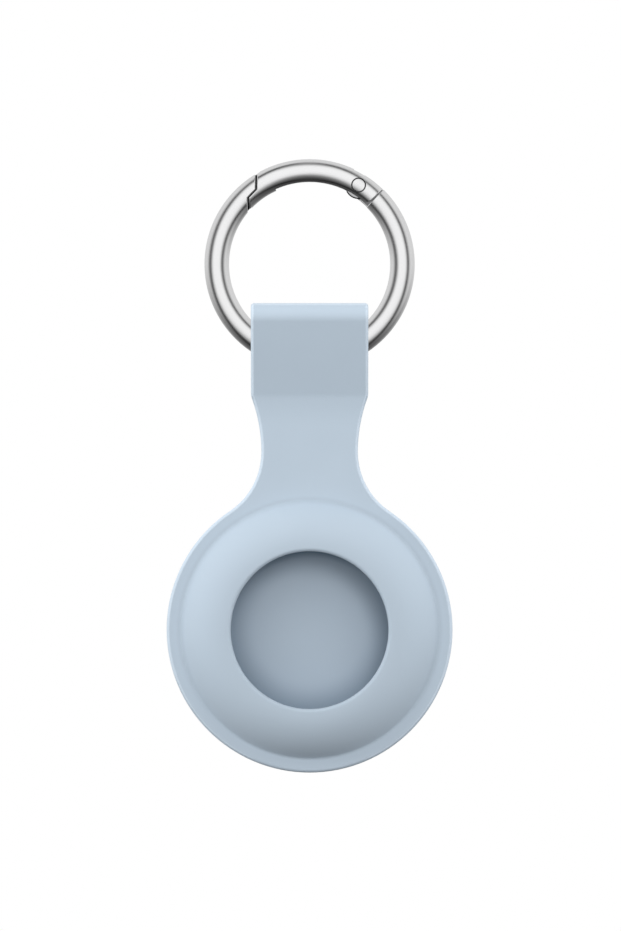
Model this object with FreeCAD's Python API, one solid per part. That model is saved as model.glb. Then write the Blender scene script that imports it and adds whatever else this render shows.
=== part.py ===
import FreeCAD, Part
import math
import os

# Tracker tag holder: a one-piece silicone pocket with a strap loop, hung on a round spring-gate ring.
# Millimetres and degrees. The origin is the centre of the ring, X points right, Y to the back and Z up.
# The window of the pocket faces the front at -Y and the holder hangs below the ring. Angles in the ring
# are counted from +X towards +Z, about the centre of the ring.

Vector = FreeCAD.Vector
RIGHT = Vector(1, 0, 0)
BACK = Vector(0, 1, 0)
UP = Vector(0, 0, 1)

# Ring bar
RING_MID_RADIUS = 13.0
BAR_DIAMETER = 3.45

# Hinge of the gate
PIN_ANGLE = 58.2
PIN_DIAMETER = 1.9
PIN_CLEARANCE = 0.04
PIN_GROOVE_WIDTH = 0.08
PIN_GROOVE_DEPTH = 0.6
HEEL_ANGLE = 45.2
HEEL_GAP = 0.15
HEEL_CHAMFER_WIDTH = 0.8
HEEL_CHAMFER_DEPTH = 0.35
TONGUE_THICKNESS = 1.2
TONGUE_CLEARANCE = 0.06
TONGUE_INSET = 0.05
TONGUE_ROOT_ANGLE = 5.0
KNUCKLE_PROUD = 0.175
SLOT_END_CLEARANCE = 0.45
GATE_OPENING = 40.0

# Stepped nose of the gate
NOSE_OUTER_ANGLE = 119.8
NOSE_LAND_START_ANGLE = 125.2
NOSE_LAND_START_DROP = 0.23
NOSE_LAND_END_ANGLE = 132.5
NOSE_LAND_END_DROP = 0.43
NOSE_INNER_ANGLE = 138.3
NOSE_GAP = 0.25
NOSE_KEY_THICKNESS = 0.9
NOSE_KEY_REACH = 0.2
NOSE_KEY_INSET = 0.15
NOSE_KEY_END_CLEARANCE = 0.15
NOSE_KEY_SIDE_CLEARANCE = 0.06
GATE_RELIEF_DEPTH = 0.27
GATE_RELIEF_END_ANGLE = 114.4
CUT_EDGE_FILLET = 0.12

# Spring and plunger in the bore of the gate
BORE_END_ANGLE = 84.0
BORE_DIAMETER = 1.3
PLUNGER_TRAVEL = 0.35
PLUNGER_CLEARANCE = 0.05
PLUNGER_LENGTH = 1.5
SPIGOT_DIAMETER = 0.6
SPIGOT_LENGTH = 0.5
CAM_MARGIN_ANGLE = 8.0
CAM_CLEARANCE = 0.08
SPRING_WIRE = 0.18
SPRING_TURNS = 4
SPRING_CLEARANCE = 0.07
SPRING_SEAT_GAP = 0.02

# Strap loop
LOOP_WIDTH = 16.4
LOOP_BAND = 2.1
LOOP_WALL = 1.35
LOOP_FACE_TILT = 18.0
LOOP_TOP_FILLET = 2.0
LOOP_TOP_CLEARANCE = 0.15
LOOP_SIDE_CLEARANCE = 0.4
LOOP_FOOT_CLEARANCE = 0.25
LOOP_FOOT = 3.46
HOLE_TOP_FILLET = 1.2
HOLE_FOOT_FILLET = 1.2
CREASE_RADIUS = 5.0

# Neck and flange plate
PLATE_THICKNESS = 3.0
NECK_STEP = 1.45
NECK_UPPER_LENGTH = 7.84
NECK_CORNER_FILLET = 2.0
NECK_LOWER_FILLET = 9.93
NECK_FLARE_ANGLE = 8.6
EDGE_FILLET = 0.45

# Pocket for a coin-shaped tag
TAG_DIAMETER = 31.9
TAG_THICKNESS = 8.0
TAG_CLEARANCE = 0.05
POCKET_WALL = 1.3
POCKET_RIM = 2.0
FLANGE_WIDTH = 2.0
WINDOW_DIAMETER = 22.0
LIP_LAND = 0.5
DOME_FOOT_FILLET = 0.3
WINDOW_FILLET = 0.25

# Reach of the cutting shapes past what they cut, the least turn that counts as an edge and the
# distance within which two places are the same
BEYOND = 5.0
BEYOND_ANGLE = 15.0
SHARP_ANGLE = 20.0
SAME = 0.001

# Values that follow from the ones above
bar_radius = BAR_DIAMETER / 2
inner_radius = RING_MID_RADIUS - bar_radius
outer_radius = RING_MID_RADIUS + bar_radius
pin_radius = PIN_DIAMETER / 2
knuckle_radius = bar_radius + KNUCKLE_PROUD
half_tongue = TONGUE_THICKNESS / 2
half_slot = half_tongue + TONGUE_CLEARANCE
half_key = NOSE_KEY_THICKNESS / 2
cam_rise = PLUNGER_TRAVEL / GATE_OPENING

half_loop = LOOP_WIDTH / 2
half_neck = half_loop - NECK_STEP
half_plate = PLATE_THICKNESS / 2
cavity_radius = TAG_DIAMETER / 2 + TAG_CLEARANCE
dome_radius = cavity_radius + POCKET_RIM
flange_radius = dome_radius + FLANGE_WIDTH
window_radius = WINDOW_DIAMETER / 2
crest_radius = window_radius + LIP_LAND
crest_depth = TAG_THICKNESS / 2 + POCKET_WALL
tilt = math.radians(LOOP_FACE_TILT)
hole_top = LOOP_TOP_CLEARANCE - math.sqrt(inner_radius ** 2 - half_loop ** 2)
hole_foot = -outer_radius - LOOP_FOOT_CLEARANCE
loop_top = hole_top + LOOP_BAND
crease_height = hole_foot - LOOP_FOOT
waist_height = crease_height - NECK_UPPER_LENGTH
waist_drop = math.sqrt((flange_radius + NECK_LOWER_FILLET) ** 2 - (half_neck + NECK_LOWER_FILLET) ** 2)
pocket_centre = Vector(0, 0, waist_height - waist_drop)


def in_ring(angle, radius):
    """Point in the plane of the ring."""
    turn = math.radians(angle)
    return Vector(radius * math.cos(turn), 0, radius * math.sin(turn))


def around(centre, angle, radius):
    """Point in the plane of the ring, at an angle and radius about another centre."""
    return centre + in_ring(angle, radius)


pin_centre = in_ring(PIN_ANGLE, RING_MID_RADIUS)
bore_end = in_ring(BORE_END_ANGLE, RING_MID_RADIUS)
bore_line = bore_end - pin_centre
bore_depth = bore_line.Length
bore_angle = math.degrees(math.atan2(bore_line.z, bore_line.x))
slot_radius = knuckle_radius + SLOT_END_CLEARANCE
cam_start_angle = bore_angle - CAM_MARGIN_ANGLE
cam_end_angle = bore_angle + GATE_OPENING + CAM_MARGIN_ANGLE
cam_start_radius = knuckle_radius - cam_rise * (cam_end_angle - cam_start_angle)
plunger_tip = cam_start_radius + cam_rise * CAM_MARGIN_ANGLE + CAM_CLEARANCE


def slab(edges, half_depth):
    """Solid with the outline of the edges, as deep in front of the plane of the ring as behind it."""
    face = Part.Face(Part.Wire(Part.__sortEdges__(edges)))
    face.translate(BACK * -half_depth)
    return face.extrude(BACK * (2 * half_depth))


def polygon(points):
    """Edges of a closed polygon."""
    return [Part.makeLine(points[index - 1], points[index]) for index in range(len(points))]


def disc(centre, radius, half_depth):
    """Round slab about a centre in the plane of the ring."""
    return Part.makeCylinder(radius, 2 * half_depth, centre - BACK * half_depth, BACK)


def arc_about(centre, start, end):
    """Arc of less than half a turn about a centre."""
    middle = (start - centre) + (end - centre)
    middle.normalize()
    return Part.Arc(start, centre + middle * (start - centre).Length, end).toShape()


def rounded(corners):
    """Edges of a closed outline of (point, radius) corners, each rounded by a tangent arc."""
    starts = []
    middles = []
    ends = []
    count = len(corners)
    for index, (point, radius) in enumerate(corners):
        before = (corners[index - 1][0] - point).normalize()
        after = (corners[(index + 1) % count][0] - point).normalize()
        half_angle = before.getAngle(after) / 2
        reach = radius / math.tan(half_angle)
        inwards = (before + after).normalize()
        starts.append(point + before * reach)
        middles.append(point + inwards * (radius / math.sin(half_angle) - radius))
        ends.append(point + after * reach)
    edges = []
    for index in range(count):
        edges.append(Part.makeLine(ends[index - 1], starts[index]))
        if corners[index][1] > 0:
            edges.append(Part.Arc(starts[index], middles[index], ends[index]).toShape())
    return edges


def along_width(edges, half_width):
    """Solid with a side outline in the YZ plane, run along X."""
    face = Part.Face(Part.Wire(Part.__sortEdges__(edges)))
    face.translate(RIGHT * -half_width)
    return face.extrude(RIGHT * (2 * half_width))


def sharp_edges(shape):
    """Edges where two faces meet at an angle."""
    found = []
    for edge in shape.Edges:
        faces = shape.ancestorsOfType(edge, Part.Face)
        if len(faces) < 2:
            continue
        middle = edge.valueAt((edge.FirstParameter + edge.LastParameter) / 2)
        normals = [face.normalAt(*face.Surface.parameter(middle)) for face in faces]
        if math.degrees(normals[0].getAngle(normals[1])) > SHARP_ANGLE:
            found.append(edge)
    return found


def softened(shape, radius):
    """The shape with every sharp edge rounded."""
    return shape.makeFillet(radius, sharp_edges(shape))


def bar(radius):
    """A full round of bar, bent to the ring."""
    return Part.makeTorus(RING_MID_RADIUS, radius, Vector(), BACK)


def nose_line(shift):
    """Points of the stepped nose from outside the ring to inside it, moved along X."""
    outer = in_ring(NOSE_OUTER_ANGLE, outer_radius)
    land_start = in_ring(NOSE_LAND_START_ANGLE, RING_MID_RADIUS - NOSE_LAND_START_DROP)
    land_end = in_ring(NOSE_LAND_END_ANGLE, RING_MID_RADIUS - NOSE_LAND_END_DROP)
    inner = in_ring(NOSE_INNER_ANGLE, inner_radius)
    past_outer = outer + (outer - land_start).normalize() * BEYOND
    past_inner = inner + (inner - land_end).normalize() * bar_radius
    return [point + RIGHT * shift for point in (past_outer, land_start, land_end, past_inner)]


def nose_strip(start, end, half_depth):
    """Slab along the stepped nose, between two shifts of its line."""
    return slab(polygon(nose_line(start) + nose_line(end)[::-1]), half_depth)


def gate_region(nose_shift, heel_gap, heel_chamfer):
    """Slab that holds the gate's share of the ring, between the stepped nose and the heel."""
    into_gate = in_ring(HEEL_ANGLE + 90, 1)
    relief_radius = inner_radius + GATE_RELIEF_DEPTH
    heel_far = in_ring(HEEL_ANGLE, inner_radius - bar_radius) + into_gate * (heel_gap + heel_chamfer)
    heel_inner = in_ring(HEEL_ANGLE, relief_radius) + into_gate * (heel_gap + heel_chamfer)
    heel_knee = in_ring(HEEL_ANGLE, relief_radius + HEEL_CHAMFER_WIDTH) + into_gate * heel_gap
    heel_outer = in_ring(HEEL_ANGLE, outer_radius + BEYOND) + into_gate * heel_gap
    heel = [heel_far, heel_inner, heel_knee, heel_outer]
    outline = nose_line(nose_shift) + heel + [UP * (outer_radius + 2 * BEYOND)]
    return slab(polygon(outline), bar_radius + BEYOND)


def knuckle():
    """Round end of the tongue, with the cam edge that the plunger rides on."""
    back_angle = PIN_ANGLE - 90
    points = [
        around(pin_centre, back_angle, cam_start_radius),
        around(pin_centre, (back_angle + cam_start_angle) / 2, cam_start_radius),
        around(pin_centre, cam_start_angle, cam_start_radius),
        around(pin_centre, (cam_start_angle + cam_end_angle) / 2, (cam_start_radius + knuckle_radius) / 2),
        around(pin_centre, cam_end_angle, knuckle_radius),
        around(pin_centre, (cam_end_angle + back_angle + 360) / 2, knuckle_radius),
        around(pin_centre, back_angle, knuckle_radius),
    ]
    edges = [Part.Arc(*points[first:first + 3]).toShape() for first in (0, 2, 4)]
    edges.append(Part.makeLine(points[6], points[0]))
    flush_radius = RING_MID_RADIUS + math.sqrt((bar_radius - TONGUE_INSET) ** 2 - half_tongue ** 2)
    return slab(edges, half_tongue).common(disc(Vector(), flush_radius, half_tongue))


def ring_body():
    """Open round bar with a flat tongue for the gate's fork and a key that closes the gap at its nose."""
    root = in_ring(HEEL_ANGLE - TONGUE_ROOT_ANGLE, outer_radius + BEYOND)
    tip = in_ring(PIN_ANGLE, outer_radius + BEYOND)
    tongue = bar(bar_radius - TONGUE_INSET).common(slab(polygon([Vector(), root, tip]), half_tongue))
    tongue = tongue.fuse(knuckle())
    body = softened(bar(bar_radius).cut(gate_region(-NOSE_GAP, 0, 0)), CUT_EDGE_FILLET)
    key = nose_strip(-NOSE_GAP - NOSE_KEY_REACH, NOSE_KEY_REACH, half_key)
    body = body.fuse(tongue).fuse(key.common(bar(bar_radius - NOSE_KEY_INSET)))
    return body.cut(disc(pin_centre, pin_radius + PIN_CLEARANCE, bar_radius))


def in_bore(shape):
    """Carry a shape made along Z to the bore: its origin to the pin, its Z to the bore's line."""
    shape.Placement = FreeCAD.Placement(pin_centre, FreeCAD.Rotation(UP, bore_line))
    return shape


def gate_arm():
    """Gate with a slotted, stepped nose, a fork at the heel and a blind bore for the spring."""
    arm = bar(bar_radius).common(gate_region(0, HEEL_GAP, HEEL_CHAMFER_DEPTH))
    arm = softened(arm, CUT_EDGE_FILLET)
    relief_angles = (HEEL_ANGLE - BEYOND_ANGLE, PIN_ANGLE, GATE_RELIEF_END_ANGLE)
    relief_points = [in_ring(angle, 2 * outer_radius) for angle in relief_angles]
    relieved = slab(polygon([Vector()] + relief_points), bar_radius)
    arm = arm.cut(disc(Vector(), inner_radius + GATE_RELIEF_DEPTH, bar_radius).common(relieved))
    fork_points = [
        around(pin_centre, PIN_ANGLE, BEYOND),
        around(pin_centre, PIN_ANGLE - 180, BEYOND),
        in_ring(HEEL_ANGLE - BEYOND_ANGLE, inner_radius),
        in_ring(HEEL_ANGLE - BEYOND_ANGLE, outer_radius),
    ]
    slot = slab(polygon(fork_points), half_slot).fuse(disc(pin_centre, slot_radius, half_slot))
    bore = in_bore(Part.makeCylinder(BORE_DIAMETER / 2, bore_depth))
    key_end = NOSE_KEY_REACH + NOSE_KEY_END_CLEARANCE
    key_slot = nose_strip(-NOSE_GAP, key_end, half_key + NOSE_KEY_SIDE_CLEARANCE)
    arm = arm.cut(slot).cut(bore).cut(key_slot)
    arm = arm.cut(disc(pin_centre, pin_radius, bar_radius))
    face_depth = bar_radius - PIN_GROOVE_DEPTH
    groove = disc(pin_centre, pin_radius + PIN_GROOVE_WIDTH, bar_radius)
    return arm.cut(groove.cut(disc(pin_centre, pin_radius + PIN_GROOVE_WIDTH, face_depth)))


def pivot_pin():
    """Rivet flush with the bar on both faces."""
    return disc(pin_centre, pin_radius, bar_radius).common(bar(bar_radius))


def spring_plunger():
    """Domed pusher with a spigot that centres the spring."""
    radius = BORE_DIAMETER / 2 - PLUNGER_CLEARANCE
    dome = Part.makeSphere(radius, UP * (plunger_tip + radius))
    stem = Part.makeCylinder(radius, PLUNGER_LENGTH - radius, UP * (plunger_tip + radius))
    spigot = Part.makeCylinder(SPIGOT_DIAMETER / 2, SPIGOT_LENGTH, UP * (plunger_tip + PLUNGER_LENGTH))
    return in_bore(dome.fuse(stem).fuse(spigot).removeSplitter())


def tangent_arc(start, knee, end):
    """Arc from start to end, tangent to the two equal legs that meet at the knee."""
    leg = (knee - start).Length
    half_chord = (end - start).Length / 2
    middle = (start + end) / 2
    return Part.Arc(start, middle + (knee - middle) * (half_chord / (leg + half_chord)), end).toShape()


def biarc(start, start_way, end, end_way):
    """Two tangent arcs that join two points with given directions."""
    span = end - start
    ways = start_way + end_way
    spread = 2 * (1 - start_way.dot(end_way))
    leg = (math.sqrt(span.dot(ways) ** 2 + spread * span.dot(span)) - span.dot(ways)) / spread
    first_knee = start + start_way * leg
    last_knee = end - end_way * leg
    joint = (first_knee + last_knee) / 2
    return [tangent_arc(start, first_knee, joint), tangent_arc(joint, last_knee, end)]


def gate_spring():
    """Compression spring between the plunger's shoulder and the end of the bore."""
    coil_radius = BORE_DIAMETER / 2 - SPRING_CLEARANCE - SPRING_WIRE / 2
    foot = plunger_tip + PLUNGER_LENGTH + SPRING_SEAT_GAP + SPRING_WIRE
    pitch = (bore_depth - SPRING_SEAT_GAP - SPRING_WIRE - foot) / SPRING_TURNS
    slope = pitch / (2 * math.pi * coil_radius)

    def on_coil(quarter):
        turn = math.radians(90 * quarter)
        height = foot + pitch * quarter / 4
        place = Vector(coil_radius * math.cos(turn), coil_radius * math.sin(turn), height)
        way = Vector(-math.sin(turn), math.cos(turn), slope).normalize()
        return place, way

    quarters = 4 * SPRING_TURNS
    first, first_way = on_coil(0)
    last, last_way = on_coil(quarters)
    tail = first - first_way * SPRING_WIRE
    edges = [Part.makeLine(tail, first)]
    for quarter in range(quarters):
        edges += biarc(*on_coil(quarter), *on_coil(quarter + 1))
    edges.append(Part.makeLine(last, last + last_way * SPRING_WIRE))
    section = Part.Wire(Part.makeCircle(SPRING_WIRE / 2, tail, first_way))
    least = min((on_coil(step / 4)[0] - on_coil(4 + step / 4)[0]).Length for step in range(16))
    print("gate_spring: least gap between turns %.2f mm" % (least - SPRING_WIRE))
    return in_bore(Part.Wire(edges).makePipeShell([section], True, False))


def loop_half_depth(height, wall):
    """Half the depth of the loop at a height: its clear inside, plus a wall."""
    across = (bar_radius + LOOP_SIDE_CLEARANCE + wall) / math.cos(tilt)
    return across + (height + RING_MID_RADIUS) * math.tan(tilt)


def side_outline():
    """Side view of the loop, neck and flange plate."""
    crease = loop_half_depth(crease_height, LOOP_WALL)
    flare = math.radians(NECK_FLARE_ANGLE)
    flare_height = crease_height - (crease - half_plate) / math.tan(flare)
    flare_room = (crease - half_plate) / math.sin(flare) - CREASE_RADIUS * math.tan(tilt - flare)
    flare_radius = flare_room / math.tan(flare / 2)
    half = [
        (loop_half_depth(loop_top, LOOP_WALL), loop_top, LOOP_TOP_FILLET),
        (crease, crease_height, CREASE_RADIUS),
        (half_plate, flare_height, flare_radius),
        (half_plate, pocket_centre.z - flange_radius - BEYOND, 0),
    ]
    front = [(Vector(0, -depth, height), radius) for depth, height, radius in half]
    rear = [(Vector(0, depth, height), radius) for depth, height, radius in reversed(half)]
    return rounded(front + rear)


def front_slab():
    """Front view of the loop, neck and flange, run through from front to back."""
    upper_radius = (NECK_UPPER_LENGTH ** 2 + NECK_STEP ** 2) / (2 * NECK_STEP)
    head = loop_top + BEYOND
    corner = Vector(half_loop, 0, crease_height)
    waist = Vector(half_neck, 0, waist_height)
    lower_centre = waist + RIGHT * NECK_LOWER_FILLET
    to_flange = (lower_centre - pocket_centre).normalize() * flange_radius
    foot = pocket_centre - UP * flange_radius
    edges = [
        Part.makeLine(Vector(0, 0, head), Vector(half_loop, 0, head)),
        Part.makeLine(Vector(half_loop, 0, head), corner),
        arc_about(waist + RIGHT * upper_radius, corner, waist),
        arc_about(lower_centre, waist, pocket_centre + to_flange),
        arc_about(pocket_centre, pocket_centre + to_flange, foot),
    ]
    edges += [edge.mirror(Vector(), RIGHT) for edge in edges]
    body = slab(edges, crest_depth + BEYOND)
    corners = []
    for edge in body.Edges:
        middle = edge.CenterOfMass
        if Vector(abs(middle.x), middle.y, middle.z).isEqual(corner, SAME):
            corners.append(edge)
    return body.makeFillet(NECK_CORNER_FILLET, corners)


def lens(half_depth, rim_radius, round_radius):
    """Solid about the pocket's axis: flat crests, round shoulders and a straight rim."""
    reach = rim_radius - crest_radius
    middle_reach = reach / 2

    def on_arc(out, side):
        depth = half_depth - round_radius + math.sqrt(round_radius ** 2 - out ** 2)
        return pocket_centre + RIGHT * (crest_radius + out) + BACK * (side * depth)

    front_hub = pocket_centre - BACK * half_depth
    back_hub = pocket_centre + BACK * half_depth
    edges = [
        Part.makeLine(back_hub, front_hub),
        Part.makeLine(front_hub, on_arc(0, -1)),
        Part.Arc(on_arc(0, -1), on_arc(middle_reach, -1), on_arc(reach, -1)).toShape(),
        Part.makeLine(on_arc(reach, -1), on_arc(reach, 1)),
        Part.Arc(on_arc(reach, 1), on_arc(middle_reach, 1), on_arc(0, 1)).toShape(),
        Part.makeLine(on_arc(0, 1), back_hub),
    ]
    return Part.Face(Part.Wire(edges)).revolve(pocket_centre, BACK, 360)


def silicone_holder():
    """One moulding: strap loop, neck, flange and the lipped pocket for the tag."""
    plate = front_slab().common(along_width(side_outline(), flange_radius + BEYOND))
    plate = softened(plate, EDGE_FILLET)
    hole_half_top = loop_half_depth(hole_top, 0)
    hole_half_foot = loop_half_depth(hole_foot, 0)
    hole = along_width(rounded([
        (Vector(0, -hole_half_top, hole_top), HOLE_TOP_FILLET),
        (Vector(0, hole_half_top, hole_top), HOLE_TOP_FILLET),
        (Vector(0, hole_half_foot, hole_foot), HOLE_FOOT_FILLET),
        (Vector(0, -hole_half_foot, hole_foot), HOLE_FOOT_FILLET),
    ]), half_loop + BEYOND)
    plate = softened(plate.cut(hole), EDGE_FILLET)
    dome_reach = dome_radius - crest_radius
    dome_rise = crest_depth - half_plate
    dome_round = (dome_reach ** 2 + dome_rise ** 2) / (2 * dome_rise)
    dome = lens(crest_depth, dome_radius, dome_round)
    holder = softened(plate.fuse(dome), DOME_FOOT_FILLET)
    cavity = lens(TAG_THICKNESS / 2, cavity_radius, dome_round - POCKET_WALL)
    window = Part.makeCylinder(window_radius, crest_depth + BEYOND, pocket_centre, BACK * -1)
    return softened(holder.cut(cavity.fuse(window)), WINDOW_FILLET)


NODES = {
    "silicone_holder": silicone_holder,
    "ring_body": ring_body,
    "gate_arm": gate_arm,
    "pivot_pin": pivot_pin,
    "gate_spring": gate_spring,
    "spring_plunger": spring_plunger,
}

os.makedirs("parts", exist_ok=True)
for name, make in NODES.items():
    shape = make()
    print("%s: %d solid, %.1f cubic mm" % (name, len(shape.Solids), shape.Volume))
    shape.exportStep("parts/%s.step" % name)
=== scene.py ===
# %% [markdown]
# # A silicone tag holder on a spring-gate ring
# The real object is one soft silicone moulding, a round pocket with a neck and a strap loop, hung on a metal
# ring whose gate swings inwards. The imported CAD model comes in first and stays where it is: it says where every
# piece sits and which body carries it. Blender then adds what the CAD model leaves plain, which is the soft
# moulding, the coil spring and the finish of every surface.

# %% Load the frame
import math

import bmesh
import bpy
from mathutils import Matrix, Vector


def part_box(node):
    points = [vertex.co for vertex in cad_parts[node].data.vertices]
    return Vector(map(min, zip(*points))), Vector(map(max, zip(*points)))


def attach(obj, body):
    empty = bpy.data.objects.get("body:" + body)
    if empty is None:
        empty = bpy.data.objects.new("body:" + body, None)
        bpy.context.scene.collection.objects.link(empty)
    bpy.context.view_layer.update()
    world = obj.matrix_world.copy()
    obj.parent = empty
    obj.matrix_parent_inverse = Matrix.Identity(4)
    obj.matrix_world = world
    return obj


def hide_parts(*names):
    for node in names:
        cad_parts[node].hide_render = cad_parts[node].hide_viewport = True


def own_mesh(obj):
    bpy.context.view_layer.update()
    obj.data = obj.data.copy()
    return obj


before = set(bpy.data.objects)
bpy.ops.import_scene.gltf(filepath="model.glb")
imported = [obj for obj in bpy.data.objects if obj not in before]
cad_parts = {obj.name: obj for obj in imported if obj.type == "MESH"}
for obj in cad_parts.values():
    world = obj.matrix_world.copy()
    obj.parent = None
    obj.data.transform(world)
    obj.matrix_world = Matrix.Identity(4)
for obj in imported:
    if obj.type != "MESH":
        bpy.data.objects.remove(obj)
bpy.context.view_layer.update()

# %% [markdown]
# ## Camera
# The photograph looks straight at the front of the holder from far away, so the two sides of the pocket look
# the same and nothing converges. A long lens at a good distance gives that. Its focal length follows from the
# size of a pixel on the object, and its aim from the pixel on which the centre of the ring falls.

# %% Place the camera
PHOTO_WIDTH_PX = 621
PHOTO_HEIGHT_PX = 931
RING_CENTRE_PX = (309.6, 264.3)
METRES_PER_PX = 0.00014
CAMERA_DISTANCE = 1.2
SENSOR = 36

view_x = (PHOTO_WIDTH_PX / 2 - RING_CENTRE_PX[0]) * METRES_PER_PX
view_z = (RING_CENTRE_PX[1] - PHOTO_HEIGHT_PX / 2) * METRES_PER_PX
bpy.ops.object.camera_add(location=(view_x, -CAMERA_DISTANCE, view_z), rotation=(math.radians(90), 0, 0))
camera = bpy.context.object
camera.data.sensor_width = SENSOR
camera.data.lens = SENSOR * CAMERA_DISTANCE / (PHOTO_HEIGHT_PX * METRES_PER_PX)
bpy.context.scene.camera = camera
print("camera: lens %.0f mm, aimed at x %.4f, z %.4f" % (camera.data.lens, view_x, view_z))

# %% [markdown]
# ## Sizes of the holder
# What the frame shows is measured on it: half the width of the holder's box is the radius of the flange, and the
# middle of the pocket lies that far above the lowest point. Walls and widths that no box shows are written down
# here once.

# %% Measure the holder
MM = 0.001
PLATE_HALF = 1.5 * MM
FLANGE_WIDTH = 2.0 * MM
CREST_RADIUS = 11.5 * MM
CREST_DEPTH = 5.3 * MM
WALL = 1.3 * MM
RIM_WALL = 2.0 * MM

holder_low, holder_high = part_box("silicone_holder")
flange_radius = (holder_high.x - holder_low.x) / 2
pocket_z = holder_low.z + flange_radius
pocket_centre = (0, 0, pocket_z)
loop_top = holder_high.z
dome_radius = flange_radius - FLANGE_WIDTH
mid_flange = (dome_radius + flange_radius) / 2
cavity_radius = dome_radius - RIM_WALL
cavity_depth = CREST_DEPTH - WALL
print("holder: flange radius %.2f mm, middle of the pocket at z %.2f mm" % (flange_radius / MM, pocket_z / MM))

# %% [markdown]
# ## Profile of the pocket
# The pocket is round about one axis, so one half section describes it: a flat back, a domed shoulder, a thin
# flange, a domed front with a window, and the hollow for the tag inside. Every bend is an arc, so one small
# helper that walks along an arc gives all the points. The foot of the dome and the front edge of the window are
# rounded softly, as on the real moulding, where the light rolls over them.

# %% Draw the half section
FOOT_FILLET = 0.55 * MM
WINDOW_RADIUS = 11.0 * MM
WINDOW_FILLET = 0.25 * MM
LIP_ROUND = 0.48 * MM
DOME_STEPS = 14
CEILING_STEPS = 10
LIP_STEPS = 7
FILLET_STEPS = 5


def arc(centre, radius, start, end, steps):
    """Points (across, along) on an arc from one angle in degrees to another."""
    points = []
    for number in range(steps + 1):
        turn = math.radians(start + (end - start) * number / steps)
        points.append((centre[0] + radius * math.cos(turn), centre[1] + radius * math.sin(turn)))
    return points


dome_reach = dome_radius - CREST_RADIUS
dome_rise = CREST_DEPTH - PLATE_HALF
dome_round = (dome_reach ** 2 + dome_rise ** 2) / (2 * dome_rise)
dome_centre = CREST_DEPTH - dome_round
foot_height = PLATE_HALF + FOOT_FILLET
foot_turn = math.degrees(math.asin((foot_height - dome_centre) / (dome_round + FOOT_FILLET)))
foot_out = CREST_RADIUS + (dome_round + FOOT_FILLET) * math.cos(math.radians(foot_turn))
cavity_round = dome_round - WALL
cavity_turn = math.degrees(math.acos((cavity_radius - CREST_RADIUS) / cavity_round))

shoulder = arc((CREST_RADIUS, dome_centre), dome_round, 90, foot_turn, DOME_STEPS)
shoulder += arc((foot_out, foot_height), FOOT_FILLET, foot_turn + 180, 270, FILLET_STEPS)[1:]
shoulder.append((flange_radius, PLATE_HALF))
lip = arc((WINDOW_RADIUS + LIP_ROUND, CREST_DEPTH - LIP_ROUND), LIP_ROUND, 90, 180, LIP_STEPS)
inner_edge = (WINDOW_RADIUS + WINDOW_FILLET, cavity_depth + WINDOW_FILLET)
lip += arc(inner_edge, WINDOW_FILLET, 180, 270, FILLET_STEPS)
ceiling = arc((CREST_RADIUS, cavity_depth - cavity_round), cavity_round, 90, cavity_turn, CEILING_STEPS)

section = list(shoulder)
section += [(across, -depth) for across, depth in reversed(shoulder)]
section += [(across, -depth) for across, depth in lip + ceiling]
section += [(across, depth) for across, depth in reversed(ceiling)]
print("half section of the pocket: %d points" % len(section))

# %% [markdown]
# ## Turning the pocket
# A turner would let the half section run round the axis. By hand in Blender the same shape grows ring by ring:
# a circle is added where the section starts, and each extrusion carries the ring on to the next point of the
# section by a scale and a move. The two flat ends, the back of the pocket and its floor, are then filled with a
# face each.

# %% Grow the pocket ring by ring
POCKET_SEGMENTS = 128


def select_open_edges():
    """Select the edges round the openings of the mesh in edit mode, and nothing else."""
    bpy.ops.mesh.select_mode(type="EDGE")
    bpy.ops.mesh.select_all(action="DESELECT")
    bpy.ops.mesh.select_non_manifold(
        use_wire=False, use_multi_face=False, use_non_contiguous=False, use_verts=False)


bpy.ops.object.select_all(action="DESELECT")
first_radius, first_depth = section[0]
bpy.ops.mesh.primitive_circle_add(
    vertices=POCKET_SEGMENTS, radius=first_radius, fill_type="NOTHING",
    location=(0, first_depth, pocket_z), rotation=(math.radians(90), 0, 0))
holder = bpy.context.object
holder.name = "holder_moulding"
bpy.ops.object.transform_apply(location=True, rotation=True, scale=True)
bpy.ops.object.mode_set(mode="EDIT")
bpy.ops.mesh.select_mode(type="EDGE")
bpy.ops.mesh.select_all(action="SELECT")
for (radius, depth), (next_radius, next_depth) in zip(section, section[1:]):
    bpy.ops.mesh.extrude_region_move(TRANSFORM_OT_translate={"value": (0, next_depth - depth, 0)})
    growth = next_radius / radius
    bpy.ops.transform.resize(value=(growth, 1, growth), center_override=pocket_centre)
bpy.ops.mesh.edge_face_add()
select_open_edges()
bpy.ops.mesh.edge_face_add()
bpy.ops.mesh.normals_make_consistent(inside=False)
bpy.ops.object.mode_set(mode="OBJECT")
print("pocket: %d faces" % len(holder.data.polygons))

# %% [markdown]
# ## Front outline of the strap
# Above the flange the moulding is a strap. Seen from the front it leaves the flange in a wide fillet, narrows to
# a waist and widens again to the loop. The outline is a chain of arcs that meet smoothly, and one side of it is
# enough: its points are half widths at their heights.

# %% Draw the front outline
LOOP_HALF_WIDTH = 8.2 * MM
NECK_HALF_WIDTH = 6.75 * MM
LOWER_FILLET = 9.93 * MM
UPPER_LENGTH = 7.84 * MM
CORNER_FILLET = 2.0 * MM
CREASE_HEIGHT = -18.435 * MM
LOWER_STEPS = 10
UPPER_STEPS = 8
CORNER_STEPS = 4

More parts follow.
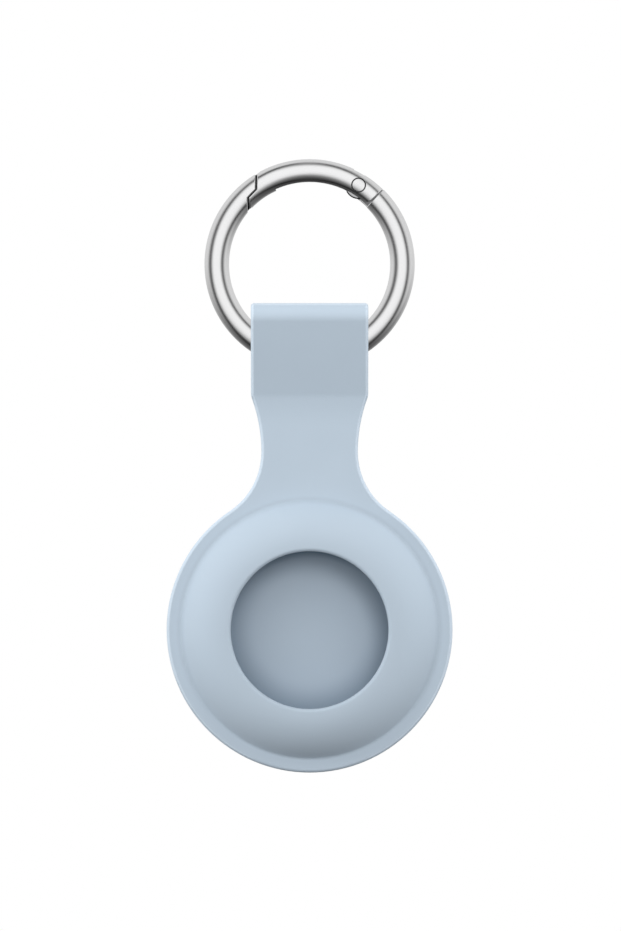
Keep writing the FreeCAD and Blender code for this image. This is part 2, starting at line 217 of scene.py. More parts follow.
waist = CREASE_HEIGHT - UPPER_LENGTH
neck_step = LOOP_HALF_WIDTH - NECK_HALF_WIDTH
upper_radius = (UPPER_LENGTH ** 2 + neck_step ** 2) / (2 * neck_step)
corner_run = upper_radius - neck_step + CORNER_FILLET
corner_rise = math.sqrt((upper_radius + CORNER_FILLET) ** 2 - corner_run ** 2)
corner_turn = math.degrees(math.asin(corner_rise / (upper_radius + CORNER_FILLET)))
tangent_turn = math.degrees(math.atan2(waist - pocket_z, NECK_HALF_WIDTH + LOWER_FILLET))

lower_centre = (NECK_HALF_WIDTH + LOWER_FILLET, waist)
upper_centre = (NECK_HALF_WIDTH + upper_radius, waist)
corner_centre = (LOOP_HALF_WIDTH - CORNER_FILLET, waist + corner_rise)
front_view = arc(lower_centre, LOWER_FILLET, 180 + tangent_turn, 180, LOWER_STEPS)
front_view += arc(upper_centre, upper_radius, 180, 180 - corner_turn, UPPER_STEPS)[1:]
front_view += arc(corner_centre, CORNER_FILLET, -corner_turn, 0, CORNER_STEPS)[1:]
front_view.append((LOOP_HALF_WIDTH, loop_top))
print("front outline: %d points, waist at z %.1f mm" % (len(front_view), waist / MM))

# %% [markdown]
# ## Side outline of the strap
# Seen from the side the strap starts as thin as the flange and flares slowly. From a crease on it leans out
# round the bar of the ring, and its top is rounded. Each bend is an arc, placed from the point where the two
# straight stretches beside it would meet.

# %% Draw the side outline
CREASE_HALF_DEPTH = 1.888 * MM
CREASE_RADIUS = 5.0 * MM
FLARE_RADIUS = 23.49 * MM
FLARE_TILT = 8.6
LOOP_TILT = 18.0
TOP_FILLET = 2.0 * MM
BEND_STEPS = 5
TOP_STEPS = 12

flare = math.radians(FLARE_TILT)
tilt = math.radians(LOOP_TILT)
flare_rise = (CREASE_HALF_DEPTH - PLATE_HALF) / math.tan(flare)
flare_start = CREASE_HEIGHT - flare_rise - FLARE_RADIUS * math.tan(flare / 2)
crease_reach = CREASE_RADIUS * math.tan((tilt - flare) / 2)
crease_corner = Vector((CREASE_HALF_DEPTH, CREASE_HEIGHT))
crease_start = crease_corner - crease_reach * Vector((math.sin(flare), math.cos(flare)))
crease_centre = crease_start + CREASE_RADIUS * Vector((math.cos(flare), -math.sin(flare)))
top_depth = CREASE_HALF_DEPTH + (loop_top - CREASE_HEIGHT) * math.tan(tilt)
top_reach = TOP_FILLET / math.tan((math.pi / 2 - tilt) / 2)
top_centre = (top_depth - top_reach, loop_top - TOP_FILLET)

side_view = [(PLATE_HALF, pocket_z)]
side_view += arc((PLATE_HALF + FLARE_RADIUS, flare_start), FLARE_RADIUS, 180, 180 - FLARE_TILT, BEND_STEPS)
side_view += arc(crease_centre, CREASE_RADIUS, 180 - FLARE_TILT, 180 - LOOP_TILT, BEND_STEPS)
side_view += arc(top_centre, TOP_FILLET, -LOOP_TILT, 90, TOP_STEPS)
print("side outline: %d points, loop %.1f mm deep" % (len(side_view), 2 * max(side_view)[0] / MM))

# %% [markdown]
# ## Rows of the strap
# The strap is built of rows, one at the height of every point in either outline. A row takes its half width from
# the front and its half depth from the side. Rows that nearly fall together are left out, because slivers
# between them would spoil the rounding of the edges later.

# %% Combine the outlines into rows
LEAST_ROW_STEP = 0.1 * MM


def at_height(outline, height):
    """Distance of an outline from the middle of the strap at a height."""
    for (across, low), (next_across, high) in zip(outline, outline[1:]):
        if low <= height <= high:
            share = (height - low) / (high - low)
            return across + (next_across - across) * share
    return outline[-1][0]


rows = []
for height in sorted(height for across, height in front_view + side_view if height > front_view[0][1]):
    row = Vector((height, at_height(front_view, height), at_height(side_view, height)))
    if not rows or (row - rows[-1]).length > LEAST_ROW_STEP:
        rows.append(row)
print("strap: %d rows from %.1f to %.1f mm" % (len(rows), rows[0][0] / MM, rows[-1][0] / MM))

# %% [markdown]
# ## Pulling the strap out of the flange
# The strap is not stuck on: it grows out of the rim of the flange. So the rim's wall is opened where the neck
# sits, and the open edge is extruded upwards row by row. Each row is the last one scaled in width and depth and
# moved up, and the round of the rim flattens out on the way. One face closes the top.

# %% Open the rim and pull up the rows
NECK_SPAN = 33.75
ROUND_LOSS_ROWS = 10

bpy.ops.object.mode_set(mode="EDIT")
bpy.ops.mesh.select_mode(type="FACE")
bpy.ops.mesh.select_all(action="DESELECT")
for face in bmesh.from_edit_mesh(holder.data).faces:
    off_centre = face.calc_center_median() - Vector(pocket_centre)
    on_rim = math.hypot(off_centre.x, off_centre.z) > mid_flange and abs(off_centre.y) < PLATE_HALF / 2
    face.select = on_rim and math.degrees(abs(math.atan2(off_centre.x, off_centre.z))) < NECK_SPAN
bmesh.update_edit_mesh(holder.data)
bpy.ops.mesh.delete(type="FACE")
select_open_edges()

span = math.radians(NECK_SPAN)
height = pocket_z + flange_radius * math.cos(span)
width = flange_radius * math.sin(span)
depth = PLATE_HALF
for number, (next_height, next_width, next_depth) in enumerate(rows):
    left = ROUND_LOSS_ROWS - number
    flatten = max(left - 1, 0) / left if left > 0 else 1
    bpy.ops.mesh.extrude_region_move(TRANSFORM_OT_translate={"value": (0, 0, next_height - height)})
    bpy.ops.transform.resize(
        value=(next_width / width, next_depth / depth, flatten), center_override=(0, 0, next_height))
    height, width, depth = next_height, next_width, next_depth
bpy.ops.mesh.edge_face_add()
bpy.ops.object.mode_set(mode="OBJECT")
print("holder with strap: %d faces" % len(holder.data.polygons))

# %% [markdown]
# ## Joining the flat faces
# Flange and neck now share one flat plane, front and back, and so do the rows of each side of the loop. Small
# faces in one plane are dissolved into one that the rounding can run along, and the loop's sides are cut in half
# again where the hole will come.

# %% Join the faces of each plane
TOUCH = 0.001 * MM


def dissolve_where(in_plane):
    """Join the holder's faces that a test picks by their middle into one face for each plane."""
    bpy.ops.mesh.select_mode(type="FACE")
    bpy.ops.mesh.select_all(action="DESELECT")
    for face in bmesh.from_edit_mesh(holder.data).faces:
        face.select = in_plane(face.calc_center_median())
    bmesh.update_edit_mesh(holder.data)
    bpy.ops.mesh.dissolve_faces(use_verts=False)


bpy.ops.object.mode_set(mode="EDIT")
dissolve_where(lambda point: abs(abs(point.y) - PLATE_HALF) < TOUCH
               and abs(math.atan2(point.x, point.z - pocket_z)) < span)
dissolve_where(lambda point: abs(abs(point.x) - LOOP_HALF_WIDTH) < TOUCH)
bpy.ops.mesh.bisect(plane_co=(0, 0, 0), plane_no=(0, 1, 0))
bpy.ops.mesh.select_all(action="SELECT")
bpy.ops.mesh.normals_make_consistent(inside=False)
bpy.ops.object.mode_set(mode="OBJECT")
print("holder with joined planes: %d faces" % len(holder.data.polygons))

# %% [markdown]
# ## The hole for the ring
# The ring's bar runs through the loop from side to side. On the mould that hole is a core pin with rounded
# corners. A box widened at its top and bevelled along its length gives the core, and a Boolean takes it out of
# the strap.

# %% Cut the hole through the loop
HOLE_TOP = -7.589 * MM
HOLE_FOOT = -14.975 * MM
HOLE_HALF_TOP = 3.993 * MM
HOLE_HALF_FOOT = 1.593 * MM
HOLE_FILLET = 1.2 * MM
HOLE_SEGMENTS = 8
CORE_LENGTH = 3 * LOOP_HALF_WIDTH

bpy.ops.object.select_all(action="DESELECT")
hole_middle = (HOLE_TOP + HOLE_FOOT) / 2
bpy.ops.mesh.primitive_cube_add(size=1, location=(0, 0, hole_middle))
core = bpy.context.object
core.scale = (CORE_LENGTH, 2 * HOLE_HALF_FOOT, HOLE_TOP - HOLE_FOOT)
bpy.ops.object.transform_apply(location=True, rotation=True, scale=True)
bpy.ops.object.mode_set(mode="EDIT")
for upper, corner_angle in ((True, 90 - LOOP_TILT), (False, 90 + LOOP_TILT)):
    bpy.ops.mesh.select_mode(type="EDGE")
    bpy.ops.mesh.select_all(action="DESELECT")
    for edge in bmesh.from_edit_mesh(core.data).edges:
        ends = [vertex.co for vertex in edge.verts]
        lengthwise = abs(ends[0].x - ends[1].x) > LOOP_HALF_WIDTH
        edge.select = lengthwise and (ends[0].z > hole_middle) == upper
    bmesh.update_edit_mesh(core.data)
    if upper:
        widening = HOLE_HALF_TOP / HOLE_HALF_FOOT
        bpy.ops.transform.resize(value=(1, widening, 1), center_override=(0, 0, HOLE_TOP))
    reach = HOLE_FILLET / math.tan(math.radians(corner_angle) / 2)
    bpy.ops.mesh.bevel(offset=reach, segments=HOLE_SEGMENTS, profile=0.5, affect="EDGES")
bpy.ops.object.mode_set(mode="OBJECT")

bpy.ops.object.select_all(action="DESELECT")
holder.select_set(True)
bpy.context.view_layer.objects.active = holder
cut = holder.modifiers.new("ring_hole", "BOOLEAN")
cut.operation = "DIFFERENCE"
cut.solver = "EXACT"
cut.object = core
bpy.ops.object.modifier_apply(modifier=cut.name)
bpy.data.objects.remove(core)
print("holder with hole: %d faces" % len(holder.data.polygons))

# %% [markdown]
# ## Rounding the edges
# A soft moulding has no sharp edge: it would tear there, and it would not come out of the mould. All the edges
# that are still square, which are the rim, the sides of the strap and the two mouths of the hole, get the same
# small round from one Bevel modifier. Hardened normals keep the flat faces flat beside the rounds.

# %% Round the square edges
EDGE_ROUND = 0.45 * MM
EDGE_SEGMENTS = 5
SQUARE_FROM = 60

edge_round = holder.modifiers.new("edge_round", "BEVEL")
edge_round.width = EDGE_ROUND
edge_round.segments = EDGE_SEGMENTS
edge_round.limit_method = "ANGLE"
edge_round.angle_limit = math.radians(SQUARE_FROM)
edge_round.use_clamp_overlap = False
edge_round.loop_slide = False
edge_round.harden_normals = True
bpy.ops.object.shade_smooth()
bpy.ops.object.modifier_apply(modifier=edge_round.name)
print("holder with rounded edges: %d faces" % len(holder.data.polygons))

# %% [markdown]
# ## Marking the edges for a painted highlight
# The rounded edges that face the sides or the top get a painted highlight: a lighter colour than the faces
# beside them, where the lamps would catch them. The normal of a vertex tells whether it lies on such an edge: it
# leans to the side and to the front or back at once, or it looks almost straight up. The dome stays unmarked, and
# so do the edges that look down, which the light doesn't catch. The marks are kept on the mesh as an attribute,
# which the finish reads later.

# %% Mark the edges for the painted highlight
EDGE_HIGHLIGHT = "thin_edge"
SIDE_LEAN = 0.12
FRONT_LEAN = 0.15
LEAST_RISE = -0.30
TOP_RISE = 0.88

marks = holder.data.attributes.new(EDGE_HIGHLIGHT, "FLOAT", "POINT").data
for vertex, mark in zip(holder.data.vertices, marks):
    off_dome = math.hypot(vertex.co.x, vertex.co.z - pocket_z) > mid_flange
    side, front, up = vertex.normal
    at_side = abs(side) > SIDE_LEAN and abs(front) > FRONT_LEAN and up > LEAST_RISE
    mark.value = float(off_dome and (at_side or up > TOP_RISE))
print("thin edges: %d of %d vertices" % (sum(mark.value for mark in marks), len(marks)))

# %% [markdown]
# ## Handing over the holder
# The finished moulding swings with the body that the CAD model calls holder, and it is shown in place of the
# plain CAD holder. Satin steel is too dull to show it clearly, so it is kept out of the ring's mirror.

# %% Hand over the holder
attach(holder, "holder")
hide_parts("silicone_holder")
holder.visible_glossy = False
print("holder moulding: %d faces, on the body holder" % len(holder.data.polygons))

# %% [markdown]
# ## The spring in the gate
# A small compression spring sits in the bore of the gate and pushes a plunger against the hinge, which snaps the
# gate shut. Spring wire is wound on a mandrel, and the Screw modifier does just that with a circle.

# %% Wind the spring
SPRING_PITCH = 0.586 * MM
SPRING_TURNS = 4
COIL_RADIUS = 0.49 * MM
WIRE_RADIUS = 0.09 * MM
WIRE_SIDES = 12
TURN_STEPS = 32
SMOOTH_UP_TO = 40

bpy.ops.object.select_all(action="DESELECT")
bpy.ops.mesh.primitive_circle_add(
    vertices=WIRE_SIDES, radius=WIRE_RADIUS, fill_type="NOTHING",
    location=(COIL_RADIUS, 0, 0), rotation=(math.radians(90), 0, 0))
coil = bpy.context.object
coil.name = "coil_spring"
bpy.ops.object.transform_apply(location=True, rotation=True, scale=True)
winding = coil.modifiers.new("winding", "SCREW")
winding.screw_offset = SPRING_PITCH
winding.iterations = SPRING_TURNS
winding.steps = TURN_STEPS
winding.render_steps = TURN_STEPS
bpy.ops.object.modifier_apply(modifier=winding.name)
bpy.ops.object.mode_set(mode="EDIT")
select_open_edges()
bpy.ops.mesh.edge_face_add()
bpy.ops.mesh.select_all(action="SELECT")
bpy.ops.mesh.normals_make_consistent(inside=False)
bpy.ops.object.mode_set(mode="OBJECT")
bpy.ops.object.shade_smooth_by_angle(angle=math.radians(SMOOTH_UP_TO))
print("coil spring: %d turns, %d faces" % (SPRING_TURNS, len(coil.data.polygons)))

# %% [markdown]
# ## Seating the spring
# The spring was wound upright at the origin, so it is tilted into the line of the bore and moved to its foot on
# the plunger. When the gate opens, the plunger comes in and the real coil gets shorter, towards the end of the
# bore; this mesh keeps its wound length.

# %% Seat the spring in its bore
PIN_CENTRE = Vector((6.850 * MM, 0, 11.049 * MM))
BORE_TILT = -71.1
SPRING_FOOT = 3.262 * MM

bore_way = Vector((math.sin(math.radians(BORE_TILT)), 0, math.cos(math.radians(BORE_TILT))))
coil.rotation_euler = (0, math.radians(BORE_TILT), 0)
coil.location = PIN_CENTRE + SPRING_FOOT * bore_way
bpy.ops.object.transform_apply(location=True, rotation=True, scale=True)
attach(coil, "gate")
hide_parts("gate_spring")
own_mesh(coil)

# %% [markdown]
# ## Writing shaders as sums
# A finish is a sum of small effects, such as grain plus streaks. A node tree hides that in wires, so a small
# class wraps a socket: adding or multiplying two of them adds the Math node that does it. Every other node comes
# from one method that takes the node's type, its settings and the values or links of its sockets.

# %% Wrap a socket


class Link:
    """An output socket that takes part in Python sums."""

    def __init__(self, tree, socket=None):
        self.tree = tree
        self.socket = socket

    def node(self, kind, settings=None, sockets=None, output=0):
        """Add a node, set it up, feed it and return one of its outputs."""
        made = self.tree.nodes.new(kind)
        for name, value in (settings or {}).items():
            if name == "stops":
                ramp = made.color_ramp
                while len(ramp.elements) < len(value):
                    ramp.elements.new(1)
                for element, (position, level) in zip(ramp.elements, value):
                    element.position = position
                    element.color = (level, level, level, 1)
            else:
                setattr(made, name, value)
        for name, value in (sockets or {}).items():
            if isinstance(value, Link):
                self.tree.links.new(value.socket, made.inputs[name])
            else:
                made.inputs[name].default_value = value
        return Link(self.tree, made.outputs[output])

    def math(self, operation, *values):
        """Add a Math node."""
        return self.node("ShaderNodeMath", {"operation": operation}, dict(enumerate(values)))

    def __add__(self, other):
        return self.math("ADD", self, other)

    def __sub__(self, other):
        return self.math("SUBTRACT", self, other)

    def __rsub__(self, other):
        return self.math("SUBTRACT", other, self)

    def __mul__(self, other):
        return self.math("MULTIPLY", self, other)

    def __truediv__(self, other):
        return self.math("DIVIDE", self, other)

    __radd__ = __add__
    __rmul__ = __mul__


print("shader sums: ready")

# %% [markdown]
# ## Materials and patterns
# Every finish starts from a Principled shader whose plain sockets are set once. What changes over the surface
# comes from a few patterns: soft noise, a smooth step from 0 to 1, a blend of two colours, a distance, and a
# bump. Each gets a helper of its own, so that a finish reads like a recipe.

# %% Make the helpers for finishes


def new_material(name, **constants):
    """A material with a Principled shader whose plain sockets are set; returns it, its tree and its shader."""
    material = bpy.data.materials.new(name)
    material.use_nodes = True
    tree = material.node_tree
    tree.nodes.clear()
    shader = tree.nodes.new("ShaderNodeBsdfPrincipled")
    output = tree.nodes.new("ShaderNodeOutputMaterial")
    tree.links.new(shader.outputs["BSDF"], output.inputs["Surface"])
    for socket, value in constants.items():
        shader.inputs[socket.replace("_", " ")].default_value = value
    return material, Link(tree), shader


def feed(shader, socket, link):
    """Let a link drive one socket of a shader."""
    link.tree.links.new(link.socket, shader.inputs[socket])


def coat(piece, material):
    """Give a piece one material in place of any that it has."""
    piece.data.materials.clear()
    piece.data.materials.append(material)


def noise(where, scale, detail=2.0, roughness=0.5):
    """Soft noise from 0 to 1, with a number of features to the metre."""
    sockets = {"Vector": where, "Scale": scale, "Detail": detail, "Roughness": roughness}
    return where.node("ShaderNodeTexNoise", None, sockets, output="Fac")


def mixed(factor, first, second):
    """One colour blended into another by a factor from 0 to 1."""
    sockets = {"Factor": factor, 6: first, 7: second}
    return factor.node("ShaderNodeMix", {"data_type": "RGBA"}, sockets, output=2)


def step(value, start, end):
    """0 up to the start, 1 from the end on, and smooth in between."""
    return value.node("ShaderNodeMapRange", {"interpolation_type": "SMOOTHSTEP"},
                      {"Value": value, "From Min": start, "From Max": end})


def slant(first, second):
    """Length of the slanting side over two sides at right angles."""
    return first.math("SQRT", first * first + second * second)


def bump(height, strength, distance):
    """A normal that follows a height."""
    return height.node("ShaderNodeBump", None, {"Strength": strength, "Distance": distance, "Height": height})


def parts_of(vector):
    """The X, Y and Z of a vector as three links."""
    split = vector.node("ShaderNodeSeparateXYZ", None, {"Vector": vector}).socket.node
    return [Link(vector.tree, split.outputs[axis]) for axis in "XYZ"]


print("helpers for finishes: ready")

# %% [markdown]
# ## Light and dark places of the silicone
# Little light reaches the skin inside the pocket under the lip, most of all below the top of the window, so
# painted shade darkens it there. A soft line of painted shade lies in the crease at the foot of the dome and
# fades out towards the bottom. The edges that get a painted highlight were marked before. Distances from the axis
# of the pocket and from the arc of the dome tell where a point lies.

# %% Find the light and dark places
INSIDE_FADE = (0.4 * WALL, 0.6 * WALL)
LIP_SHADE = (0.66 * WINDOW_RADIUS, 1.14 * WINDOW_RADIUS)
LIP_SHADE_DEPTH = 0.5
TOP_SHADE = (0.82 * WINDOW_RADIUS, 1.05 * WINDOW_RADIUS)
TOP_SHADE_RISE = (0.3 * WINDOW_RADIUS, 1.1 * WINDOW_RADIUS)
FOOT_LINE = 18.12 * MM
FOOT_LINE_REACH = 0.75 * MM
FOOT_LINE_RISE = (-15 * MM, -3 * MM)

silicone, paint, shader = new_material("pale_blue_silicone", Sheen_Weight=0.15, Sheen_Roughness=0.4)
place = paint.node("ShaderNodeTexCoord", output="Object")
across, back, up = parts_of(place)
rise = up - pocket_z
from_centre = slant(across, rise)
past_crest = paint.math("MAXIMUM", from_centre - CREST_RADIUS, 0)
past_middle = paint.math("ABSOLUTE", back) - dome_centre
below_skin = dome_round - slant(past_crest, past_middle)
inside = step(below_skin, *INSIDE_FADE)
lip_shade = LIP_SHADE_DEPTH * step(from_centre, *LIP_SHADE)
top_shade = step(rise, *TOP_SHADE_RISE) * step(from_centre, *TOP_SHADE)
# Painted shade inside the pocket under the lip, deepest below the top of the window.
painted_pocket_shade = inside * paint.math("MAXIMUM", lip_shade, top_shade)
from_foot = paint.math("ABSOLUTE", from_centre - FOOT_LINE)
# Painted shade in the crease at the foot of the dome, fading out towards the bottom.
foot_crease_shade = (1 - step(from_foot, 0, FOOT_LINE_REACH)) * step(rise, *FOOT_LINE_RISE)
# Marks of the edges that get a painted highlight.
highlight = paint.node("ShaderNodeAttribute", {"attribute_name": EDGE_HIGHLIGHT}, output="Fac")
print("light and dark places: %d nodes" % len(paint.tree.nodes))

# %% [markdown]
# ## Silicone
# The moulding is matt because the steel mould was blasted, which leaves a grain finer than a fifth of a
# millimetre. The colour is a pale blue that drifts a little, as pigment never mixes perfectly. Grain goes into
# the bump and the roughness, drift into the colour, and a little sheen stands for the soft bloom on the skin of
# silicone.

# %% Make the silicone
SILICONE_LIGHT = (0.560, 0.664, 0.768, 1)
SILICONE_DEEP = (0.540, 0.643, 0.746, 1)
SILICONE_CREASE_SHADE = (0.495, 0.587, 0.680, 1)
SILICONE_EDGE_HIGHLIGHT = (0.67, 0.78, 0.89, 1)
SILICONE_POCKET_SHADE = (0.09, 0.165, 0.25, 1)
DRIFT_SCALE = 160
GRAIN_SCALE = 5200
PORE_SCALE = 1500

drift = noise(place, DRIFT_SCALE, 3)
grain = noise(place, GRAIN_SCALE, 2)
pores = noise(place, PORE_SCALE, 3, 0.6)
skin = mixed(drift, SILICONE_DEEP, SILICONE_LIGHT)
# Painted shade in the crease at the foot of the dome.
skin = mixed(foot_crease_shade, skin, SILICONE_CREASE_SHADE)
# Painted highlight: the marked edges are lighter.
skin = mixed(highlight, skin, SILICONE_EDGE_HIGHLIGHT)
# Painted shade inside the pocket under the lip.
feed(shader, "Base Color", mixed(painted_pocket_shade, skin, SILICONE_POCKET_SHADE))
feed(shader, "Roughness", 0.50 + 0.10 * grain + 0.06 * pores + 0.2 * painted_pocket_shade)
feed(shader, "Normal", bump(grain + 0.6 * pores, 0.25, 0.02 * MM))
coat(holder, silicone)
print("silicone: on", holder.name)

# %% [markdown]
# ## Brushed lines of the satin steel
# The ring is turned, plated and brushed along its bar, so the fine lines run round the ring. Two angles describe
# a point on it, one round the ring and one round the bar. Noise that is stretched far along the first and fine
# across the second draws the lines, and using the angles' sines and cosines leaves no seam.

# %% Brush the steel
RING_MID_RADIUS = 13.0 * MM
NEVER_ZERO = 0.001 * MM
STEEL_DARK = (0.84, 0.84, 0.845, 1)
STEEL_LIGHT = (0.93, 0.93, 0.935, 1)
CLOUD_SCALE = 220

steel, paint, shader = new_material("satin_steel", Metallic=1.0)
place = paint.node("ShaderNodeTexCoord", output="Object")
across, back, up = parts_of(place)
from_axis = slant(across, up)
out = from_axis - RING_MID_RADIUS
from_bar = slant(out, back) + NEVER_ZERO


def brushed(round_scale, bar_scale, detail):
    """Fine lines that run along the bar, from 0 to 1."""
    spread = paint.node("ShaderNodeCombineXYZ", None, {
        "X": across * round_scale, "Y": up * round_scale, "Z": out / from_bar * bar_scale})
    return paint.node("ShaderNodeTexNoise", {"noise_dimensions": "4D"}, {
        "Vector": spread, "W": back / from_bar * bar_scale, "Scale": 1.0, "Detail": detail}, output="Fac")


lines = brushed(90, 28, 3)
fine_lines = brushed(200, 70, 2)
cloud = noise(place, CLOUD_SCALE, 2)
plated = mixed(0.6 * lines + 0.4 * cloud, STEEL_DARK, STEEL_LIGHT)
print("brushed lines: %d nodes" % len(paint.tree.nodes))

# %% [markdown]
# ## Gaps, hinge and nose of the ring
# The plating doesn't reach into the gaps, so a fraction of a millimetre below the round of the bar the steel is
# bare and rough. Because the ring is kept out of its own mirror, its gaps don't darken by themselves, so their
# colour is partly bare steel and partly painted shade: grey on the cut faces, a lighter grey near the hinge, and
# a nearly black painted shadow on the small key at the nose. The knuckle of the gate is ground, and a dark line
# of painted shade marks the seams along its edge and round the pin. The satin is too dull to show the ring in
# itself, so the ring is kept out of its own mirror image.

# %% Finish the ring and its gate
BAR_RADIUS = 1.725 * MM
PLATING_END = (0.03 * MM, 0.12 * MM)
PIN_RADIUS = 0.95 * MM
PIN_LINE = (0.05 * MM, 0.13 * MM)
KNUCKLE_RADIUS = 1.9 * MM
KNUCKLE_LINE = (KNUCKLE_RADIUS - 0.20 * MM, KNUCKLE_RADIUS - 0.10 * MM)
EYE_BORDER = (11.6 * MM, 11.62 * MM)
HINGE_REACH = 3.6 * MM
KEY_BORDER = (0.47 * MM, 0.53 * MM)
STEEL_GROUND = (0.50, 0.50, 0.505, 1)
STEEL_SEAM_SHADE = (0.03, 0.03, 0.032, 1)
STEEL_HINGE_GAP = (0.24, 0.24, 0.245, 1)
STEEL_CUT = (0.15, 0.15, 0.153, 1)
STEEL_KEY_SHADOW = (0.010, 0.010, 0.011, 1)

from_pin = slant(across - PIN_CENTRE.x, up - PIN_CENTRE.z)
near_knuckle = 1 - step(from_pin, KNUCKLE_RADIUS, 1.1 * KNUCKLE_RADIUS)
knuckle = (1 - step(from_axis, *EYE_BORDER)) * near_knuckle
# Painted shade of the seams along the knuckle's edge and round the pin.
knuckle_seam_shade = knuckle * step(from_pin, *KNUCKLE_LINE)
pin_seam_shade = 1 - step(paint.math("ABSOLUTE", from_pin - PIN_RADIUS), *PIN_LINE)
seam_shade = paint.math("MAXIMUM", pin_seam_shade, knuckle_seam_shade)
# Below the plating the colour is partly bare steel and partly painted shade of the gaps.
in_gap = step(BAR_RADIUS - from_bar, *PLATING_END) * (1 - knuckle)
bare = paint.math("MAXIMUM", in_gap, seam_shade)
at_hinge = 1 - step(from_pin, HINGE_REACH, 1.2 * HINGE_REACH)
# The small key at the nose gets a nearly black painted shadow.
at_key = 1 - step(paint.math("ABSOLUTE", back), *KEY_BORDER)
unplated_and_shaded = mixed(at_hinge, mixed(at_key, STEEL_CUT, STEEL_KEY_SHADOW), STEEL_HINGE_GAP)
finish = mixed(in_gap, mixed(knuckle, plated, STEEL_GROUND), unplated_and_shaded)
feed(shader, "Base Color", mixed(seam_shade, finish, STEEL_SEAM_SHADE))
feed(shader, "Roughness", 0.13 + 0.10 * lines + 0.04 * cloud + 0.35 * bare)
feed(shader, "Normal", bump(lines + 0.5 * fine_lines, 0.2, 0.01 * MM))
for name in ("ring_body", "gate_arm"):
    coat(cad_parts[name], steel)
    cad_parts[name].visible_glossy = False
print("satin steel: on the ring and its gate")

# %% [markdown]
# ## Rivet
# The rivet was pressed in and its head ground with the bar, so it shows faint rings about its own axis. Its rim
# shares the painted shade of the seam round the hole that it sits in.

# %% Make the rivet
RINGS_SCALE = 9000
STAIN_SCALE = 900

rivet, paint, shader = new_material("ground_rivet", Metallic=1.0)
place = paint.node("ShaderNodeTexCoord", output="Object")
across, back, up = parts_of(place)
from_pin = slant(across - PIN_CENTRE.x, up - PIN_CENTRE.z)
rings = noise(from_pin, RINGS_SCALE, 2)
stain = noise(place, STAIN_SCALE, 2)
ground = mixed(0.5 * rings + 0.5 * stain, STEEL_DARK, STEEL_LIGHT)
# Painted shade of the seam round the pin.
rim_seam_shade = 1 - step(PIN_RADIUS - from_pin, *PIN_LINE)
feed(shader, "Base Color", mixed(rim_seam_shade, ground, STEEL_SEAM_SHADE))
feed(shader, "Roughness", 0.16 + 0.10 * rings)
feed(shader, "Normal", bump(rings, 0.15, 0.005 * MM))
coat(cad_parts["pivot_pin"], rivet)
print("ground rivet: on the pin")

# %% [markdown]
# ## Spring steel
# The spring and its plunger sit in the bore of the gate. They are plain drawn wire, darker than the ring, with
# fine scuffs from the die and a little oil.

# %% Make the spring steel
WIRE_DARK = (0.48, 0.47, 0.46, 1)
WIRE_LIGHT = (0.64, 0.64, 0.65, 1)
SCUFF_SCALE = 6000
OIL_SCALE = 1200

wire, paint, shader = new_material("drawn_wire", Metallic=1.0)
place = paint.node("ShaderNodeTexCoord", output="Object")
scuffs = noise(place, SCUFF_SCALE, 3, 0.6)
oil = noise(place, OIL_SCALE, 2)
feed(shader, "Base Color", mixed(oil, WIRE_DARK, WIRE_LIGHT))
feed(shader, "Roughness", 0.22 + 0.16 * scuffs)
feed(shader, "Normal", bump(scuffs, 0.15, 0.005 * MM))
for piece in (coil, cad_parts["spring_plunger"]):
    coat(piece, wire)
print("drawn wire: on the spring and the plunger")

# %% [markdown]
# ## Floor
# The photograph is a studio picture on white, so the floor is a plain pale disc some way below the holder. It
# sends no light back at the object and stays out of the ring's mirror, whose room is painted next.

# %% Lay the floor
FLOOR_DROP = 0.05
FLOOR_RADIUS = 0.3
FLOOR_SIDES = 96
PAPER_DARK = (0.80, 0.80, 0.80, 1)
PAPER_LIGHT = (0.84, 0.84, 0.84, 1)
PAPER_SCALE = 40

bpy.ops.object.select_all(action="DESELECT")
bpy.ops.mesh.primitive_circle_add(
    vertices=FLOOR_SIDES, radius=FLOOR_RADIUS, fill_type="NGON", location=(0, 0, holder_low.z - FLOOR_DROP))
floor = bpy.context.object
floor.name = "floor"
bpy.ops.object.transform_apply(location=True, rotation=True, scale=True)
floor.visible_diffuse = False
floor.visible_glossy = False
pale, paint, shader = new_material("pale_floor", Roughness=0.9)
paper = noise(paint.node("ShaderNodeTexCoord", output="Object"), PAPER_SCALE, 3)
feed(shader, "Base Color", mixed(paper, PAPER_DARK, PAPER_LIGHT))
coat(floor, pale)
print("floor: at z %.3f m" % (holder_low.z - FLOOR_DROP))

# %% [markdown]
# ## Painted room
# Metal shows the room that it stands in, so the room can be read off the ring: a wide white panel in front, dark
# gaps at both ends of it, pale walls at the sides and behind, and hardly any light from below. The world is
# painted by direction with just that, along the horizon and from floor to ceiling. Each stop is an angle in
# degrees and a brightness.

# %% Paint the room
ALONG_HORIZON = [
    (-180, 0.72), (-106, 0.73), (-90, 0.64), (-78, 0.34), (-68, 0.15), (-60, 0.08), (-52, 0.25), (-43, 0.65),
    (-33, 0.93), (-24, 1.0), (20, 1.0), (31, 0.92), (40, 0.55), (48, 0.18), (53, 0.07), (60, 0.18), (70, 0.52),
    (80, 0.72), (90, 0.76), (180, 0.72)]
IN_FRONT = [
    (-90, 0.03), (-66, 0.06), (-52, 0.13), (-40, 0.26), (-28, 0.55), (-16, 0.86), (-4, 0.98), (10, 1.0),
    (44, 1.0), (56, 0.80), (67, 0.36), (77, 0.26), (90, 0.45)]
BEHIND = [(-90, 0.04), (-50, 0.10), (-32, 0.22), (-14, 0.50), (0, 0.70), (15, 0.73), (90, 0.70)]
FRONT_ENDS = -0.05
BACK_STARTS = 0.2

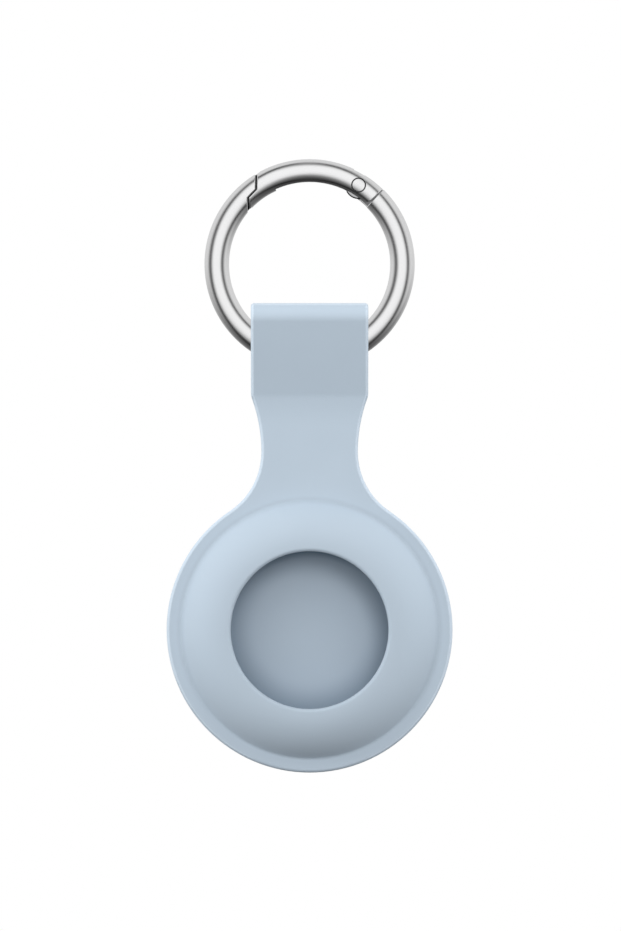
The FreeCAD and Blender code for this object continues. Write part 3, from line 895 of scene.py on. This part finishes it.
world = bpy.data.worlds.new("studio")
bpy.context.scene.world = world
world.use_nodes = True
world.node_tree.nodes.clear()
room = Link(world.node_tree)
right, back, up = parts_of(room.node("ShaderNodeTexCoord", output="Generated"))


def painted(angle, lowest, stops):
    """Brightness along an angle in radians that runs from lowest to -lowest degrees."""
    spread = -2 * lowest
    places = [((degrees - lowest) / spread, level) for degrees, level in stops]
    return room.node("ShaderNodeValToRGB", {"stops": places}, {"Fac": angle / math.radians(spread) + 0.5})


heading = room.math("ARCTAN2", right, 0 - back)
climb = room.math("ARCSINE", up)
in_front = painted(heading, -180, ALONG_HORIZON) * painted(climb, -90, IN_FRONT)
behind = painted(climb, -90, BEHIND)
turned_away = room.node("ShaderNodeMapRange", None, {
    "Value": back, "From Min": FRONT_ENDS, "From Max": BACK_STARTS})
light = room.node("ShaderNodeBackground", None, {"Color": in_front + turned_away * (behind - in_front)})
white = room.node("ShaderNodeBackground", None, {"Color": (1, 1, 1, 1)})
seen = room.node("ShaderNodeLightPath", output="Is Camera Ray")
both = room.node("ShaderNodeMixShader", None, {0: seen, 1: light, 2: white})
room.tree.links.new(both.socket, room.tree.nodes.new("ShaderNodeOutputWorld").inputs["Surface"])
bpy.context.scene.view_settings.view_transform = "Standard"
print("room: painted with %d nodes" % len(room.tree.nodes))

# %% [markdown]
# ## Lamps
# The dome is brighter at its left and right than in the middle and darkest underneath, so two soft boxes stand
# at the sides and a small one above. A fourth in front, a little high and to the right, throws the shadow of the
# lip into the pocket. Each has a heading and a height in degrees, a distance in metres and a strength, given as
# the brightness of white paper that faces it. They stay out of the ring's mirror.

# %% Set up the soft boxes
LAMPS = {
    "left_box": (-83, 6, 0.45, 0.405), "right_box": (88, 9, 0.45, 0.235),
    "top_box": (-6, 61, 0.135, 0.205), "front_box": (9, 14, 0.5, 0.165)}
LAMP_SHARE = 0.3

aim = Vector((0, 0, view_z))
for name, (heading_degrees, height_degrees, distance, level) in LAMPS.items():
    turn, lift = math.radians(heading_degrees), math.radians(height_degrees)
    outwards = Vector((math.cos(lift) * math.sin(turn), -math.cos(lift) * math.cos(turn), math.sin(lift)))
    bpy.ops.object.light_add(type="AREA", location=aim + distance * outwards)
    lamp = bpy.context.object
    lamp.name = name
    lamp.data.size = LAMP_SHARE * distance
    lamp.data.energy = level * (math.pi * distance) ** 2
    lamp.rotation_euler = outwards.to_track_quat("Z", "Y").to_euler()
    lamp.visible_glossy = False
    lamp.visible_camera = False
    print("%s: %.2f W" % (name, lamp.data.energy))
